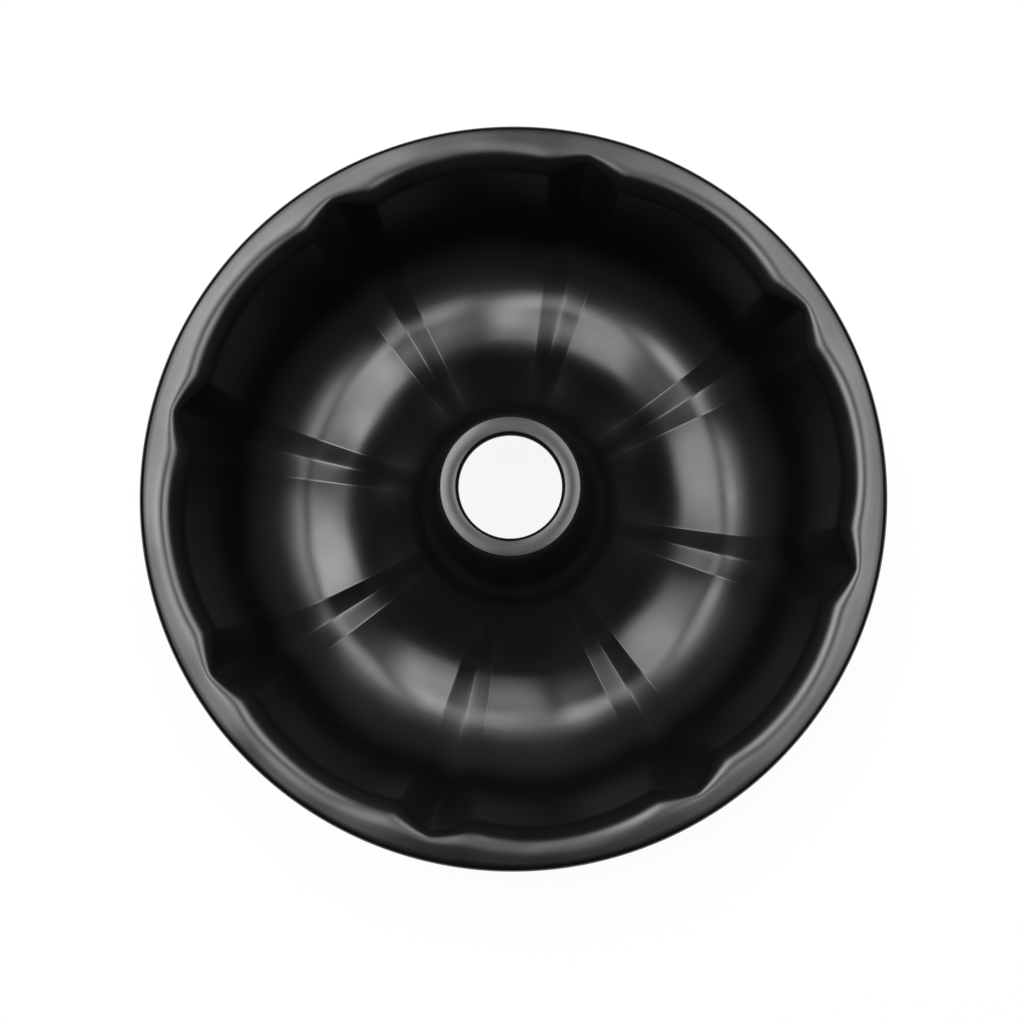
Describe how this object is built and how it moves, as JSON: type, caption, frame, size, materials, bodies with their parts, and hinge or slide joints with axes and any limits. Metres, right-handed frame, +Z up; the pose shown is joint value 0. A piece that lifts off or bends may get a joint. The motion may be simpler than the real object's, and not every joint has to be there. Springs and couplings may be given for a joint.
{
  "type": "fluted tube pan",
  "caption": "Round ring-cake pan of drawn sheet steel with fluted walls, a hollow centre tube pierced at its top, and a rolled rim.",
  "frame": {"origin": "middle of the plane that the pan stands on, below the tube", "axes": "+Z up along the tube's axis, +Y to the top of the picture's view, +X to its right"},
  "size_m": [0.2408, 0.2408, 0.0904],
  "materials": {
    "non_stick_coating": "satin black non-stick coating baked on steel sheet",
    "bright_wire": "drawn steel wire, uncoated"
  },
  "bodies": {
    "root": {"pan_shell": "non_stick_coating", "rim_wire": "bright_wire"}
  },
  "joints": []
}
